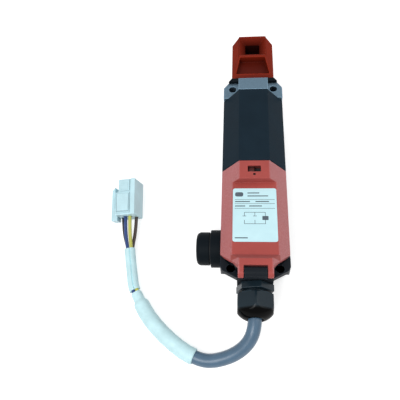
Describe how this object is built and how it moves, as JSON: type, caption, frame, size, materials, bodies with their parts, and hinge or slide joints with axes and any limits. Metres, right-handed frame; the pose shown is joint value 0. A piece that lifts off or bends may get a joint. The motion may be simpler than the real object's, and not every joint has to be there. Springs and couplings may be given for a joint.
{
  "type": "guard interlock switch",
  "caption": "Long guard interlock switch with a turning key head, a solenoid lock, a hinged red cover, a cable gland and a short lead that ends in a plug.",
  "frame": {"origin": "on the mounting face, in the middle of the four mounting holes", "axes": "+Z out of the front, +Y towards the key head, -Y towards the cable gland, +X to the right"},
  "size_m": [0.1244, 0.2467, 0.05],
  "materials": {
    "base_plastic": "satin moulded",
    "cover_red": "satin moulded",
    "slate_plastic": "satin moulded",
    "head_red": "satin moulded",
    "cast_metal": "cast, lightly blasted",
    "steel": "turned and plated",
    "brass": "turned",
    "bronze": "sintered",
    "winding": "taped winding",
    "bobbin_plastic": "moulded",
    "contact_plastic": "moulded",
    "carrier_plastic": "moulded",
    "gland_plastic": "moulded polyamide",
    "rubber": "moulded",
    "nylon": "natural, slightly glossy",
    "cable_grey": "smooth sheath",
    "sleeve_white": "smooth sleeve",
    "wire_black": "insulation",
    "wire_blue": "insulation",
    "wire_yellow": "insulation",
    "wire_brown": "insulation"
  },
  "bodies": {
    "switch_body": {"base_housing": "base_plastic", "cover_gasket": "rubber", "upper_cover": "slate_plastic", "mounting_frame": "cast_metal", "slide_bush": "bronze", "neck_collar": "base_plastic", "slide_spring": "steel", "solenoid_yoke": "steel", "solenoid_bobbin": "bobbin_plastic", "solenoid_coil": "winding", "lock_spring": "steel", "contact_block_left": "contact_plastic", "contact_block_right": "contact_plastic", "terminal_screws": "steel", "gland_body": "gland_plastic", "gland_nut": "gland_plastic", "gland_seal": "rubber", "side_collar": "gland_plastic", "side_seal": "rubber", "side_cap": "gland_plastic", "connector_housing": "nylon", "connector_terminals": "brass", "connector_latch": "nylon", "connector_lock": "nylon", "cable_jacket": "cable_grey", "main_sleeve": "sleeve_white", "wire_black": "wire_black", "wire_blue": "wire_blue", "wire_yellow": "wire_yellow", "wire_brown": "wire_brown", "upper_sleeve": "sleeve_white"},
    "cover": {"front_cover": "cover_red", "slider_guide": "contact_plastic", "hinge_pin": "steel"},
    "slider": {"release_slider": "cover_red"},
    "head": {"head_housing": "head_red", "cam_pin": "steel"},
    "cam": {"key_cam": "carrier_plastic"},
    "slide": {"switching_slide": "carrier_plastic", "contact_carrier": "carrier_plastic", "contact_bridges": "brass"},
    "plunger": {"lock_plunger": "steel"}
  },
  "joints": [
    {"name": "cover_hinge", "type": "hinge", "parent": "switch_body", "child": "cover", "pos_m": [0, -0.0764, 0.0466], "axis": [1, 0, 0], "range_deg": [0, 110]},
    {"name": "slider_slide", "type": "slide", "parent": "cover", "child": "slider", "axis": [1, 0, 0], "range_m": [0, 0.004]},
    {"name": "head_turn", "type": "hinge", "parent": "switch_body", "child": "head", "pos_m": [0, 0.0793, 0.027], "axis": [0, 1, 0], "range_deg": [-90, 180]},
    {"name": "key_turn", "type": "hinge", "parent": "head", "child": "cam", "pos_m": [0, 0.1035, 0.027], "axis": [-1, 0, 0], "range_deg": [0, 50]},
    {"name": "slide_travel", "type": "slide", "parent": "switch_body", "child": "slide", "axis": [0, -1, 0], "range_m": [0, 0.0034], "deforming": ["slide_spring"]},
    {"name": "lock_travel", "type": "slide", "parent": "switch_body", "child": "plunger", "axis": [0, 0, -1], "range_m": [0, 0.004], "stiffness_N_per_m": 400, "deforming": ["lock_spring"]}
  ],
  "couplings": [
    {"joint": "key_turn", "follows": "slide_travel", "rad_per_m": 254.1}
  ]
}
